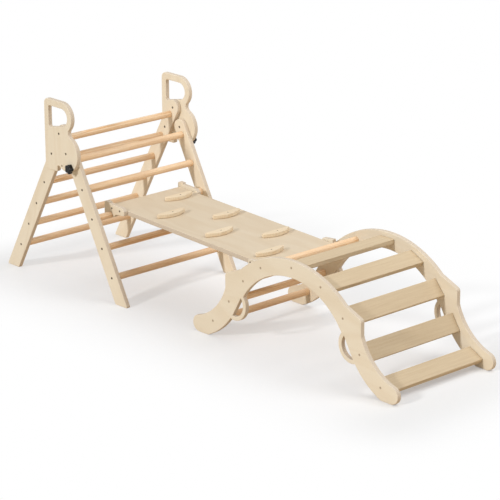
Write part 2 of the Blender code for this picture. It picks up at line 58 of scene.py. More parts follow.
stock = {
    "seed": 11,
    "sheet": 0.018,  # plywood
    "rod": 0.026,
    "gap": 0.0003,  # between touching pieces
    "arcStep": 3.0,  # degrees
    "edge": 0.0025,  # rounding of the plywood's edges
    "edgeSteps": 2,
    "bore": 0.0070,  # screw hole, before its rim is rounded
    "boreSides": 20,
    "samePoint": 0.0002,  # points of an outline nearer than this are one
    "weld": 0.00002,
    "sharp": 40.0,  # degrees, above which an edge stays sharp
    "barSharp": 50.0,  # the same for rods and bars
    "rodSides": 48,
    "rodCuts": 10,
    "rodChamfer": 0.0012,
    "barSteps": 4,
    "grainShift": (8.0, 3.0),  # metres along and across, how far apart two pieces may be sawn
    "toneSpread": 0.5,
}
chance = random.Random(stock["seed"])
axisX, axisY, axisZ = Vector((1.0, 0.0, 0.0)), Vector((0.0, 1.0, 0.0)), Vector((0.0, 0.0, 1.0))


# Plane geometry: (x, z) pairs, degrees from +x towards +z

def polar(centre, radius, degrees):
    angle = math.radians(degrees)
    return (centre[0] + radius * math.cos(angle), centre[1] + radius * math.sin(angle))


def angleOf(centre, point):
    return math.degrees(math.atan2(point[1] - centre[1], point[0] - centre[0]))


def arc(centre, radius, startDeg, endDeg):
    steps = max(3, math.ceil(abs(endDeg - startDeg) / stock["arcStep"]))
    return [polar(centre, radius, startDeg + (endDeg - startDeg) * i / steps)
            for i in range(steps + 1)]


def arcTo(centre, radius, start, end, clockwise=True):
    first, last = angleOf(centre, start), angleOf(centre, end)
    if clockwise and last > first:
        last -= 360.0
    if not clockwise and last < first:
        last += 360.0
    return arc(centre, radius, first, last)


def meetCircles(first, firstRadius, second, secondRadius, side):
    gap = math.dist(first, second)
    ahead = (firstRadius ** 2 - secondRadius ** 2 + gap ** 2) / (2 * gap)
    across = math.sqrt(firstRadius ** 2 - ahead ** 2) * side
    ux, uz = (second[0] - first[0]) / gap, (second[1] - first[1]) / gap
    return (first[0] + ahead * ux - across * uz, first[1] + ahead * uz + across * ux)


def roundCorner(before, corner, after, radius):
    toBefore = Vector((before[0] - corner[0], before[1] - corner[1]))
    toAfter = Vector((after[0] - corner[0], after[1] - corner[1]))
    half = toBefore.angle(toAfter) / 2
    reach = min(radius / math.tan(half), toBefore.length / 2, toAfter.length / 2)
    fillet = reach * math.tan(half)
    middle = (toBefore.normalized() + toAfter.normalized()).normalized()
    middle *= fillet / math.sin(half)
    centre = (corner[0] + middle.x, corner[1] + middle.y)
    first = angleOf(centre, Vector(corner) + toBefore.normalized() * reach)
    last = angleOf(centre, Vector(corner) + toAfter.normalized() * reach)
    return arc(centre, fillet, first, first + (last - first + 180.0) % 360.0 - 180.0)


def traced(before, corners, after):
    # Rounds each (corner, radius) in turn on the way from one point to another
    places = [before] + [corner for corner, radius in corners] + [after]
    points = []
    for index, (corner, radius) in enumerate(corners):
        points += roundCorner(places[index], corner, places[index + 2], radius)
    return points


def onward(start, direction, length):
    return (start[0] + direction[0] * length, start[1] + direction[1] * length)


def circle(centre, diameter):
    sides = stock["boreSides"]
    return [polar(centre, diameter / 2, 360.0 * i / sides) for i in range(sides)]


def mirrored(points):
    return [(-x, z) for x, z in reversed(points)]


def cleaned(points):
    kept = []
    for point in points:
        if not kept or math.dist(kept[-1], point) > stock["samePoint"]:
            kept.append(point)
    if math.dist(kept[0], kept[-1]) < stock["samePoint"]:
        kept.pop()
    return kept


def assign(item, **values):
    for key, value in values.items():
        setattr(item, key, value)


# Node trees, shader and geometry alike

def paired(operation):
    # An operator and its reflected form
    def straight(self, other=0.0):
        return self.graph.math(operation, self, other)

    def reflected(self, other):
        return self.graph.math(operation, other, self)
    return straight, reflected


class Signal:
    # One output socket; arithmetic on it adds Math nodes
    def __init__(self, graph, socket):
        self.graph = graph
        self.socket = socket

    __add__, __radd__ = paired("ADD")
    __sub__, __rsub__ = paired("SUBTRACT")
    __mul__, __rmul__ = paired("MULTIPLY")
    __truediv__, __rtruediv__ = paired("DIVIDE")
    __mod__, __rmod__ = paired("FLOORED_MODULO")
    __abs__, sine, root = [paired(name)[0] for name in ("ABSOLUTE", "SINE", "SQRT")]

    def __neg__(self):
        return self * -1.0


class Graph:
    def __init__(self, tree):
        self.tree = tree

    def node(self, kind, settings=None, inputs=None, output=0):
        made = self.tree.nodes.new(kind)
        assign(made, **(settings or {}))
        for key, value in (inputs or {}).items():
            self.feed(made.inputs[key], value)
        return Signal(self, made.outputs[output]) if made.outputs else None

    def math(self, operation, first, second=0.0):
        return self.node("ShaderNodeMath", {"operation": operation}, {0: first, 1: second})

    def feed(self, socket, value):
        if isinstance(value, Signal):
            self.tree.links.new(value.socket, socket)
        elif isinstance(value, list):
            for part in value:
                self.feed(socket, part)
        else:
            socket.default_value = value

    def attribute(self, name, output):
        return self.node("ShaderNodeAttribute", {"attribute_name": name}, output=output)

    def split(self, vector):
        parts = self.node("ShaderNodeSeparateXYZ", inputs={0: vector})
        return [Signal(self, output) for output in parts.socket.node.outputs]

    def point(self, x=0.0, y=0.0, z=0.0):
        return self.node("ShaderNodeCombineXYZ", inputs={0: x, 1: y, 2: z})

    def noise(self, vector, scale=1.0, detail=2.0, rough=0.5, twist=0.0):
        return self.node("ShaderNodeTexNoise", inputs={"Vector": vector, "Scale": scale,
                         "Detail": detail, "Roughness": rough, "Distortion": twist})

    def figure(self, place, stretch, **settings):
        # Noise that is denser by its own factor along each axis
        return self.noise(self.point(*(part * factor for part, factor in zip(place, stretch))),
                          **settings)

    def ease(self, value, low, high):
        # 0 below the low value, 1 above the high one
        return self.node("ShaderNodeMapRange", {"interpolation_type": "SMOOTHSTEP"},
                         {0: value, 1: low, 2: high})

    def blend(self, share, first, second, how="MIX"):
        # The node has sockets for each kind of data; these are the ones for colours.
        # A plain colour is given as it shows on screen
        made = self.node("ShaderNodeMix", {"data_type": "RGBA", "blend_type": how}, output=2)
        sockets = made.socket.node.inputs
        for index, value in ((0, share), (6, first), (7, second)):
            self.feed(sockets[index], tint(*value) if isinstance(value, tuple) else value)
        return made


def tint(red, green, blue):
    # A colour as it shows on screen, 0 to 255, in the renderer's linear numbers
    def linear(level):
        level /= 255.0
        return level / 12.92 if level <= 0.04045 else ((level + 0.055) / 1.055) ** 2.4
    return (linear(red), linear(green), linear(blue), 1.0)


# Materials. Every wooden piece carries "grain": metres along, across and through its wood,
# and a tone: a small lighter or darker step of its own. On the triangle's far side this step is
# painted light, a paler colour that stands in for brighter light.

def newMaterial(name, roughness, metallic=0.0, specular=0.5):
    material = bpy.data.materials.new(name)
    material.use_nodes = True
    graph = Graph(material.node_tree)
    graph.shader = material.node_tree.nodes["Principled BSDF"].inputs
    for label, value in (("Roughness", roughness), ("Metallic", metallic),
                         ("Specular IOR Level", specular)):
        graph.shader[label].default_value = value
    return material, graph


def toned(graph, colour, step):
    # Each piece's own tone makes its colour lighter or darker; on the triangle's far side this is
    # painted light
    level = 1.0 + graph.attribute("toneAndLight", "Fac") * step
    return graph.blend(1.0, colour, graph.point(level, level, level), "MULTIPLY")


def dress(graph, colour, rough, height, relief):
    bump = graph.node("ShaderNodeBump", inputs={"Distance": relief, "Height": height})
    for label, value in (("Base Color", colour), ("Roughness", rough), ("Normal", bump)):
        graph.feed(graph.shader[label], value)


plywoodLook = {
    "light": (232, 222, 202), "dark": (221, 206, 181), "fleck": (198, 165, 128),
    "edgeLight": (228, 214, 195), "edgeDark": (205, 188, 166), "glue": (170, 148, 124),
    "plies": 13,
    # Each figure's factors along, across and through the sheet. The sway's third is of the
    # piece's tone, and the cloud's and the pore's stand alone
    "sway": (1.3, 6.5, 3.0), "fibre": (22.0, 520.0, 90.0), "cloud": (3.0, 16.0, 4.0),
    "pore": (95.0, 900.0, 9.0), "endGrain": (900.0, 900.0, 700.0), "streak": (60.0, 60.0, 2600.0),
    "contours": 46.0,  # closeness of the broad figure's lines
    "toneStep": 0.035,
    "relief": 0.00012,  # metres
    "rough": 0.72,
    "specular": 0.3,
}
# The ramp is a warmer sheet
boardLook = dict(plywoodLook, light=(232, 216, 191), dark=(221, 200, 170))


def makePlywood(name, look):
    material, g = newMaterial(name, look["rough"], specular=look["specular"])
    along, across, through = place = g.split(g.attribute("grain", "Vector"))
    ply = stock["sheet"] / look["plies"]
    depth = stock["sheet"] / 2 - abs(through)

    # Rotary-cut face: broad contour figure, silky fibre and short pores
    sway = g.figure((along, across, g.attribute("toneAndLight", "Fac")), look["sway"], detail=2.5,
                    twist=0.35)
    contour = (sway * look["contours"]).sine() * 0.5 + 0.5
    fibre = g.figure(place, look["fibre"], detail=3.0, rough=0.62)
    cloud = g.figure((along, across, 1.0), look["cloud"])
    pore = g.ease(g.figure((along, across, 1.0), look["pore"], detail=1.0), 0.66, 0.76)
    share = contour * 0.30 + fibre * 0.45 + cloud * 0.65 - 0.30
    face = g.blend(share, look["light"], look["dark"])
    face = g.blend(pore * 0.35, face, look["fleck"])

    # The edge shows the plies by turns: long grain pale, end grain darker, thin glue lines
    layer = (depth + ply * 0.5) / ply
    turn = g.ease(abs((layer % 2.0) - 1.0), 0.42, 0.58)
    line = 1.0 - g.ease(abs(((layer + 0.5) % 1.0) - 0.5), 0.02, 0.14)
    endGrain, streak = g.figure(place, look["endGrain"]), g.figure(place, look["streak"])
    rim = g.blend(turn * 0.75 + (endGrain - 0.5) * 0.5, look["edgeLight"], look["edgeDark"])
    rim = g.blend(line * 0.55, rim, look["glue"])
    rim = g.blend((streak - 0.45) * 0.5, rim, look["edgeLight"])
    colour = g.blend(g.ease(depth, ply * 0.30, ply * 0.95), face, rim)
    onEdge = g.ease(depth, 0.0, ply)
    rough = look["rough"] + (fibre - 0.5) * 0.14 + turn * onEdge * 0.1
    height = fibre * 0.6 - pore * 0.5 - line * 0.7 * onEdge
    dress(g, toned(g, colour, look["toneStep"]), rough, height, look["relief"])
    return material


woodShape = {
    # Each figure's factors along, across and through the wood
    "wander": (2.2, 9.0, 9.0), "fibre": (20.0, 620.0, 620.0), "streak": (5.0, 130.0, 130.0),
    "fleck": (330.0, 1500.0, 1500.0),
    "toneStep": 0.05, "relief": 0.00012,
}
# For each solid wood: "pith" is where the log's middle lies, "ring" the width of one year
rodLook = {
    "light": (253, 231, 200), "dark": (228, 180, 128), "fleck": (190, 136, 90),
    "pith": (0.045, 0.020), "ring": 0.0034, "ringShare": 0.55, "fleckShare": 0.45,
    "rough": 0.58, "specular": 0.4,
}
stepLook = {
    "light": (215, 197, 167), "dark": (195, 172, 139), "fleck": (164, 130, 94),
    "pith": (0.020, 0.090), "ring": 0.0034, "ringShare": 0.55, "fleckShare": 0.25,
    "rough": 0.72, "specular": 0.3,
}
holdLook = {
    "light": (236, 220, 193), "dark": (226, 202, 168), "fleck": (200, 166, 128),
    "pith": (0.015, 0.060), "ring": 0.0030, "ringShare": 0.5, "fleckShare": 0.25,
    "rough": 0.68, "specular": 0.3,
}


def makeSolidWood(name, look):
    # Solid wood sawn from a log: the rings are shells about a pith outside the piece
    material, g = newMaterial(name, look["rough"], specular=look["specular"])
    along, across, through = place = g.split(g.attribute("grain", "Vector"))
    wander = g.figure(place, woodShape["wander"]) - 0.5
    pithX = across + look["pith"][0] + wander * 0.010
    pithZ = through + look["pith"][1] + wander * 0.006
    radius = (pithX * pithX + pithZ * pithZ).root()
    ring = ((radius + along * 0.004) / look["ring"]) % 1.0
    late = g.ease(ring, 0.35, 0.95) * (1.0 - g.ease(ring, 0.965, 1.0))
    fibre = g.figure(place, woodShape["fibre"], detail=3.0, rough=0.6)
    streak = g.figure(place, woodShape["streak"])
    fleck = g.ease(g.figure(place, woodShape["fleck"], detail=0.0), 0.70, 0.78)
    share = late * look["ringShare"] + (fibre - 0.5) * 0.7 + (streak - 0.5) * 0.9 + 0.32
    colour = g.blend(share, look["light"], look["dark"])
    colour = g.blend(fleck * look["fleckShare"], colour, look["fleck"])
    rough = look["rough"] + (fibre - 0.5) * 0.16 + fleck * 0.06
    height = fibre * 0.7 - fleck * 0.4 + late * 0.2
    dress(g, toned(g, colour, woodShape["toneStep"]), rough, height, woodShape["relief"])
    return material


# Plastic and steel: a fine grit, and scuffs or stains in the dark colour
knobLook = {
    "light": (9, 9, 10), "dark": (24, 24, 24), "metal": 0.0, "specular": 0.28, "relief": 0.00006,
    "grit": {"scale": 2600.0}, "stain": {"scale": 190.0, "detail": 3.0, "rough": 0.7},
    "from": 0.55, "to": 0.8, "share": 0.5,
    "rough": 0.30, "gritRough": 0.1, "stainRough": 0.14,
}
steelLook = {
    "light": (104, 90, 72), "dark": (58, 47, 36), "metal": 0.85, "specular": 0.5,
    "relief": 0.00004,
    "grit": {"scale": 900.0, "rough": 0.6}, "stain": {"scale": 240.0, "detail": 3.0},
    "from": 0.45, "to": 0.75, "share": 0.8,
    "rough": 0.50, "gritRough": 0.16, "stainRough": 0.0,
}
# The arch's screws are paler and less shiny
dullLook = dict(steelLook, light=(186, 168, 142), dark=(150, 130, 106), rough=0.55, metal=0.2)


def makeSpeckled(name, look):
    material, g = newMaterial(name, look["rough"], look["metal"], look["specular"])
    place = g.node("ShaderNodeTexCoord", output="Object")
    grit = g.noise(place, **look["grit"])
    stain = g.ease(g.noise(place, **look["stain"]), look["from"], look["to"])
    colour = g.blend(stain * look["share"], look["light"], look["dark"])
    rough = look["rough"] + grit * look["gritRough"] + stain * look["stainRough"]
    dress(g, colour, rough, grit, look["relief"])
    return material


finishes = {
    "birch_plywood": makePlywood("birchPlywood", plywoodLook),
    "board_plywood": makePlywood("boardPlywood", boardLook),
    "oiled_rod": makeSolidWood("beechRod", rodLook),
    "pine_slat": makeSolidWood("paleStep", stepLook),
    "hold": makeSolidWood("paleHold", holdLook),
    "black_plastic": makeSpeckled("blackPlastic", knobLook),
    "zinc_steel": makeSpeckled("zincSteel", steelLook),
    "dull_steel": makeSpeckled("dullSteel", dullLook),
}
print("materials made")


# Making and placing pieces

def linked(name, data):
    item = bpy.data.objects.new(name, data)
    bpy.context.scene.collection.objects.link(item)
    return item


def applied(item):
    # The evaluated shape as a plain mesh, and the object is dropped
    bpy.context.view_layer.update()
    evaluated = item.evaluated_get(bpy.context.evaluated_depsgraph_get())
    mesh = bpy.data.meshes.new_from_object(evaluated)
    bpy.data.objects.remove(item, do_unlink=True)
    return mesh


def welded(mesh, recalc=True):
    shape = bmesh.new()
    shape.from_mesh(mesh)
    bmesh.ops.remove_doubles(shape, verts=shape.verts, dist=stock["weld"])
    bmesh.ops.dissolve_degenerate(shape, edges=shape.edges, dist=stock["weld"] / 2)
    if recalc:
        bmesh.ops.recalc_face_normals(shape, faces=shape.faces)
    shape.to_mesh(mesh)
    shape.free()
    return mesh


def softened(mesh, sharpDeg=stock["sharp"]):
    # Smooth shading that leaves the broad flats flat
    mesh.shade_smooth()
    mesh.set_sharp_from_angle(angle=math.radians(sharpDeg))
    item = linked("softened", mesh)
    weigh = item.modifiers.new("weigh", "WEIGHTED_NORMAL")
    weigh.keep_sharp = True
    return applied(item)


def writeGrain(mesh, along, across, through, toneAndLight=0.0):
    # The axes are unit vectors in the mesh's own space; each piece is cut elsewhere in the wood
    far, aside = stock["grainShift"]
    shift = Vector((chance.uniform(-far, far), chance.uniform(-aside, aside), 0.0))
    toneAndLight += chance.uniform(-stock["toneSpread"], stock["toneSpread"])
    grain = []
    for vertex in mesh.vertices:
        grain.extend(Vector([vertex.co.dot(axis) for axis in (along, across, through)]) + shift)
    mesh.attributes.new("grain", "FLOAT_VECTOR", "POINT").data.foreach_set("vector", grain)
    level = mesh.attributes.new("toneAndLight", "FLOAT", "POINT")
    level.data.foreach_set("value", [toneAndLight] * len(mesh.vertices))


def coat(mesh, finish):
    mesh.materials.clear()
    mesh.materials.append(finishes[finish])


def settle(mesh, name, matrix, finish, body, nodes):
    mesh.transform(matrix)
    mesh.name = name
    coat(mesh, finish)
    item = linked(name, mesh)
    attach(item, body)
    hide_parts(*nodes)


def plateMesh(outlines, thickness, rounding, steps):
    curve = bpy.data.curves.new("outline", "CURVE")
    assign(curve, dimensions="2D", fill_mode="BOTH", extrude=thickness / 2 - rounding,
           bevel_depth=rounding, bevel_resolution=steps, offset=-rounding)
    for points in outlines:
        points = cleaned(points)
        spline = curve.splines.new("POLY")
        spline.points.add(len(points) - 1)
        for place, (x, y) in zip(spline.points, points):
            place.co = (x, y, 0.0, 1.0)
        spline.use_cyclic_u = True
    return softened(welded(applied(linked("outline", curve))))


def makePlate(node, outlines, matrix, body, turnDeg=90.0, toneAndLight=0.0, finish="birch_plywood",
              thickness=stock["sheet"], rounding=stock["edge"],
              steps=stock["edgeSteps"]):
    mesh = plateMesh(outlines, thickness, rounding, steps)
    turn = Matrix.Rotation(math.radians(turnDeg), 3, "Z")
    writeGrain(mesh, turn @ axisX, turn @ axisY, axisZ, toneAndLight)
    settle(mesh, node + "_wood", matrix, finish, body, [node])


def placed(x, y, z, degrees=0.0, axis="X"):
    return Matrix.Translation((x, y, z)) @ Matrix.Rotation(math.radians(degrees), 4, axis)


def standing(x, y, z):
    # A shape drawn in (x, z) stands upright, its thickness along Y
    return placed(x, y, z, 90.0)


def newRing(shape, radius, z, count):
    # radius: one for all the ring's points, or a function of the turn
    places = []
    for i in range(count):
        turn = 2 * math.pi * i / count
        reach = radius(turn) if callable(radius) else radius
        places.append(shape.verts.new((reach * math.cos(turn), reach * math.sin(turn), z)))
    return places


def joinRings(shape, rings):
    for low, high in zip(rings, rings[1:]):
        for i in range(len(low)):
            j = (i + 1) % len(low)
            shape.faces.new(list(dict.fromkeys((low[i], low[j], high[j], high[i]))))


def released(shape):
    bmesh.ops.recalc_face_normals(shape, faces=shape.faces)
    mesh = bpy.data.meshes.new("shape")
    shape.to_mesh(mesh)
    shape.free()
    return mesh


def rodMesh(length):
    shape = bmesh.new()
    sides, cuts, chamfer = stock["rodSides"], stock["rodCuts"], stock["rodChamfer"]
    half, radius = length / 2, stock["rod"] / 2
    profile = [(radius - chamfer, -half), (radius - chamfer * 0.3, -half + chamfer * 0.3),
               (radius, -half + chamfer)]
    profile += [(radius, -half + chamfer + (length - 2 * chamfer) * i / cuts)
                for i in range(1, cuts)]
    profile += [(r, -z) for r, z in reversed(profile[:3])]
    rings = [[shape.verts.new((0.0, 0.0, -half))] * sides]
    rings += [newRing(shape, r, z, sides) for r, z in profile]
    rings += [[shape.verts.new((0.0, 0.0, half))] * sides]
    joinRings(shape, rings)
    return softened(released(shape), stock["barSharp"])


def makeRod(node, x, z, length, body):
    mesh = rodMesh(length)
    spin = Matrix.Rotation(chance.uniform(0.0, 2 * math.pi), 3, "Z")
    writeGrain(mesh, axisZ, spin @ axisX, spin @ axisY)
    settle(mesh, node + "_wood", standing(x, 0.0, z), "oiled_rod", body, [node])


def barMesh(size, rounding):
    shape = bmesh.new()
    bmesh.ops.create_cube(shape, size=1.0, matrix=Matrix.Diagonal((*size, 1.0)))
    bmesh.ops.bevel(shape, geom=shape.edges[:], offset=rounding, segments=stock["barSteps"],
                    profile=0.5, affect="EDGES")
    return softened(released(shape), stock["barSharp"])


# Screws: one tree, one mesh for each body

screwShape = {
    "head": 0.0094,  # diameter
    "holdHead": 0.0052,
    "rise": 0.0022,  # height of the countersunk head
    "lip": 0.2,  # share of the rise
    "shank": 0.0038,
    "length": 0.032,
    "tipStart": 0.85,  # share of the length
    "tipShare": 0.1,  # of the shank, at the tip
    "endLength": 0.006,  # the bolts' ends on the legs' inner faces
    "slot": 0.0046,  # cross recess, end to end
    "slotWidth": 0.0010,
    "slotDepth": 0.0011,
    "sunk": 0.0005,  # below the wood's face
    "sides": 20,
    "sharp": 35.0,
    "seed": 5,
}
screwInputs = {"Head": "head", "Rise": "rise", "Shank": "shank", "Length": "length",
               "Slot": "slot", "Slot Width": "slotWidth", "Slot Depth": "slotDepth",
               "Sunk": "sunk"}


def screwTree():
    # A lathe-turned screw with a cross recess, put on every vertex of the base mesh
    tree = bpy.data.node_groups.new("screwSet", "GeometryNodeTree")
    g = Graph(tree)
    kinds = {"Geometry": "Geometry", **dict.fromkeys(screwInputs, "Float"), "Seed": "Int",
             "Finish": "Material"}
    labels = [(label, "INPUT") for label in kinds] + [("Geometry", "OUTPUT")]
    for label, way in labels:
        tree.interface.new_socket(name=label, in_out=way, socket_type="NodeSocket" + kinds[label])
    entry = tree.nodes.new("NodeGroupInput")
    given = {output.name: Signal(g, output) for output in entry.outputs if output.name}

    # Five rings of a cylinder are moved to the screw's profile, from its head to its tip
    rim, headRadius, shankRadius = (given["Rise"] * screwShape["lip"], given["Head"] * 0.5,
                                    given["Shank"] * 0.5)
    rings = [(headRadius - rim * 0.5, 0.0), (headRadius, -rim), (shankRadius, -given["Rise"]),
             (shankRadius, given["Length"] * -screwShape["tipStart"]),
             (given["Shank"] * screwShape["tipShare"], -given["Length"])]
    blank = g.node("GeometryNodeMeshCylinder", {"fill_type": "NGON"},
                   {"Vertices": screwShape["sides"], "Side Segments": len(rings) - 1,
                    "Radius": 1.0, "Depth": 1.0})
    x, y, z = g.split(g.node("GeometryNodeInputPosition"))
    level = (0.5 - z) * (len(rings) - 1)
    radius, height = 0.0, 0.0
    for index, (ringRadius, ringHeight) in enumerate(rings):
        # Within 0.4 of its whole number
        chosen = g.node("ShaderNodeMath", {"operation": "COMPARE"},
                        {0: level, 1: float(index), 2: 0.4})
        radius = radius + chosen * ringRadius
        height = height + chosen * ringHeight
    turned = g.node("GeometryNodeSetPosition", inputs={"Geometry": blank,
                    "Position": g.point(x * radius, y * radius, height)})
    long, slim, deep = given["Slot"], given["Slot Width"], given["Slot Depth"] * 2.0
    bars = [g.node("GeometryNodeMeshCube", inputs={"Size": g.point(a, b, deep)})
            for a, b in ((long, slim), (slim, long))]
    recessed = g.node("GeometryNodeMeshBoolean", {"operation": "DIFFERENCE"},
                      {"Mesh 1": turned, "Mesh 2": bars})
    screw = g.node("GeometryNodeTransform", inputs={
        "Geometry": recessed, "Translation": g.point(0.0, 0.0, -given["Sunk"])})

    outward = g.node("GeometryNodeInputNamedAttribute", {"data_type": "FLOAT_VECTOR"},
                     {"Name": "outward"})
    facing = g.node("FunctionNodeAlignRotationToVector", {"axis": "Z"}, {"Vector": outward})
    spin = g.node("FunctionNodeRandomValue", {"data_type": "FLOAT"},
                  {2: 0.0, 3: math.pi / 2, "Seed": given["Seed"]}, 1)
    turn = g.node("FunctionNodeRotateRotation", {"rotation_space": "LOCAL"},
                  {0: facing, 1: g.node("FunctionNodeEulerToRotation",
                                        inputs={0: g.point(0.0, 0.0, spin)})})
    places = g.node("GeometryNodeMeshToPoints", inputs={0: given["Geometry"]})
    screws = g.node("GeometryNodeInstanceOnPoints",
                    inputs={"Points": places, "Instance": screw, "Rotation": turn})
    solid = g.node("GeometryNodeRealizeInstances", inputs={0: screws})
    finished = g.node("GeometryNodeSetMaterial",
                      inputs={"Geometry": solid, "Material": given["Finish"]})
    g.node("NodeGroupOutput", inputs={0: finished})
    return tree


screwNodes = screwTree()


def makeScrews(name, places, body, nodes=(), finish="zinc_steel", **changes):
    # places: (point, outward direction); one mesh of all the screws that ride on one body.
    # The changes are sizes that differ from screwShape's
    mesh = bpy.data.meshes.new(name)
    mesh.from_pydata([point for point, outward in places], [], [])
    facing = mesh.attributes.new("outward", "FLOAT_VECTOR", "POINT")
    facing.data.foreach_set("vector", [part for point, outward in places for part in outward])
    item = linked(name + "_places", mesh)
    modifier = item.modifiers.new("screws", "NODES")
    modifier.node_group = screwNodes
    shape = dict(screwShape, **changes)
    values = {label: shape[key] for label, key in screwInputs.items()}
    values.update({"Seed": shape["seed"], "Finish": finishes[finish]})
    for socket in screwNodes.interface.items_tree:
        if socket.in_out == "INPUT" and socket.name in values:
            modifier[socket.identifier] = values[socket.name]
    made = softened(welded(applied(item), recalc=False), screwShape["sharp"])
    settle(made, name, Matrix.Identity(4), finish, body, nodes)


def sideways(places, startX, y, sign):
    # Screws at (x, z) places of a face that looks along Y
    return [((x + startX, y, z), (0.0, float(sign), 0.0)) for x, z in places]


# Triangle: two leg frames on a pivot, with head plates that end in handles

triangle = {
    "width": 0.564, "pivotHeight": 0.5375, "legWidth": 0.0622,
    "leftLean": 29.15,  # degrees from upright
    "rightLean": 28.3, "legSpacing": 0.0692,
    "leftTopRise": 0.0426, "footCorner": 0.005,
    "leftRungs": 6, "leftFirst": 0.0325, "leftPitch": 0.110,
    "rightRungs": 5, "rightFirst": 0.0307, "rightPitch": 0.117,
    "fold": 55.0,
    "leftCovered": 2, "rightCovered": 1,  # upper rungs, screws under the head plate
}
head = {
    "leftEdge": 0.1254,
    "handleRadius": 0.060, "handle": (-0.0214, 0.1375),
    "wall": 0.0265, "sill": 0.0875, "corner": 0.022,
    "gripCorner": 0.006, "waist": 0.020, "lobe": 0.070,
    "tailDrop": 0.0805, "tailRight": -0.0534, "tailCorner": 0.008,
    "screwSpacing": 0.1003,
    "lockDistance": 0.059, "lockBore": 0.0066,
    "farPaintedLight": 2.4,  # painted light: the far side's plates and legs are painted paler, for brighter light
}
arch = {
    "width": 0.492, "inner": 0.327, "band": 0.0635, "halfLength": 0.521,
    "crownRadius": 0.405, "innerRadius": 0.298,
    "shoulderStart": 0.262, "shoulder": (0.344, 0.2605), "shoulderRound": 0.015,
    "shoulderFoot": 0.205,
    "flareRadius": 0.226, "flareBand": 0.0775,
    "toe": 0.0315,
    "ring": (0.297, 0.155), "ringRadius": 0.062, "ringWall": 0.016,
    "gripChord": 0.0156, "gripTurn": 210.0,
    "crossInset": 0.037, "flareInset": 0.0365,
    "crownRods": (118.0, 138.0), "flareRods": (207.9, 236.4),
    "crownSteps": (90.0, 64.2, 40.3), "flareSteps": (213.1, 243.2),
    "stepWidth": 0.070, "stepThickness": 0.018, "stepRound": 0.0028,
}
ramp = {
    "rung": 2,  # of the right leg frame, counted from 0 at the top
    "archRod": 2,  # counted from 0 at the triangle's end
    "width": 0.348,
    "span": 0.806,  # from the rung to the arch's rod
    "overhang": 0.0227, "round": 0.0028, "farDrop": 0.0379,
    "clearance": 0.0015,
    "outerReach": 0.035,
    "crownReach": -0.008, "crownHeight": 0.017,
    "shelfHeight": 0.011, "shelfReach": 0.068,
    "plateReach": 0.080, "prongDrop": 0.012,
    "jawDrop": 0.004, "jawReach": 0.021,
    "skirtReach": 0.030, "skirtDrop": 0.006,
    "cornerRound": 0.006, "crownRound": 0.007, "hookRound": 0.0014,
    "farOuterReach": 0.0215, "farCrownHeight": 0.0125, "farStartHeight": 0.0055,
    "farStartReach": 0.034, "farProngDrop": 0.001, "farJawReach": 0.024, "farOuterRound": 0.002,
    "hookScrews": (0.008, 0.054), "farHookScrews": (0.004, 0.022),
    "hookScrewHeight": 0.0140, "boardTone": -3.4,
    "holds": 6, "first": 0.082, "last": 0.044, "side": 0.078,
    "holdLength": 0.135, "holdWidth": 0.032, "holdHeight": 0.017, "holdBow": 0.010,
    "holdRound": 0.004,
    "holdSteps": 4,  # of its rounded edge
    "holdPoints": 40,  # along each side
    "holdBore": 0.0030,
}


def lean(degrees):
    return (math.sin(math.radians(degrees)), -math.cos(math.radians(degrees)))


pivot = (0.0, triangle["pivotHeight"])
rightDown, leftDown = lean(triangle["rightLean"]), lean(-triangle["leftLean"])
leftTop = onward(onward(pivot, (leftDown[1], -leftDown[0]), triangle["legSpacing"]),
                 leftDown, -triangle["leftTopRise"])
leftRungs = [onward(leftTop, leftDown, triangle["leftFirst"] + triangle["leftPitch"] * i)
             for i in range(triangle["leftRungs"])]
rightRungs = [onward(pivot, rightDown, triangle["rightFirst"] + triangle["rightPitch"] * i)
              for i in range(triangle["rightRungs"])]
rampRung = rightRungs[ramp["rung"]]

innerCentre = (0.0, arch["inner"] - arch["innerRadius"])
toeCentre = (arch["halfLength"] - arch["toe"], arch["toe"])
shoulderLow = (arch["shoulder"][0], arch["shoulderFoot"])
flareCentre = meetCircles(toeCentre, arch["flareRadius"] + arch["toe"],
                          shoulderLow, arch["flareRadius"], -1)


def onCrown(degrees):
    return polar(innerCentre, arch["innerRadius"] + arch["crossInset"], degrees)


def onFlare(degrees):
    return polar(flareCentre, arch["flareRadius"] + arch["flareInset"], degrees)


archRods = mirrored([onFlare(turn) for turn in arch["flareRods"]])
archRods += [onCrown(turn) for turn in reversed(arch["crownRods"])]
archSteps = [(onCrown(turn), 90.0 - turn) for turn in arch["crownSteps"]]
archSteps += [(onFlare(turn), 270.0 - turn) for turn in arch["flareSteps"]]

# The ramp's slope follows from the rung and the arch's rod that its hooks hang on
restX, restZ = archRods[ramp["archRod"]]
nearDrop = stock["rod"] / 2 + stock["gap"]
hookRise = restZ - rampRung[1]
hookLine = math.hypot(ramp["span"], ramp["farDrop"] - nearDrop)
rampTurn = math.asin(hookRise / hookLine) + math.atan2(ramp["farDrop"] - nearDrop, ramp["span"])
archX = rampRung[0] + math.sqrt(hookLine ** 2 - hookRise ** 2) - restX


def legOutline(top, down):
    side = (-down[1], down[0])
    half = triangle["legWidth"] / 2
    rightTop, leftEdge = onward(top, side, half), onward(top, side, -half)
    rightFoot, leftFoot = [onward(end, down, end[1] / -down[1]) for end in (rightTop, leftEdge)]
    corner = triangle["footCorner"]
    return arcTo(top, half, leftEdge, rightTop) + traced(
        rightTop, [(rightFoot, corner), (leftFoot, corner)], leftEdge)


setX = -(min(x for x, z in legOutline(leftTop, leftDown)) + archX + arch["halfLength"]) / 2


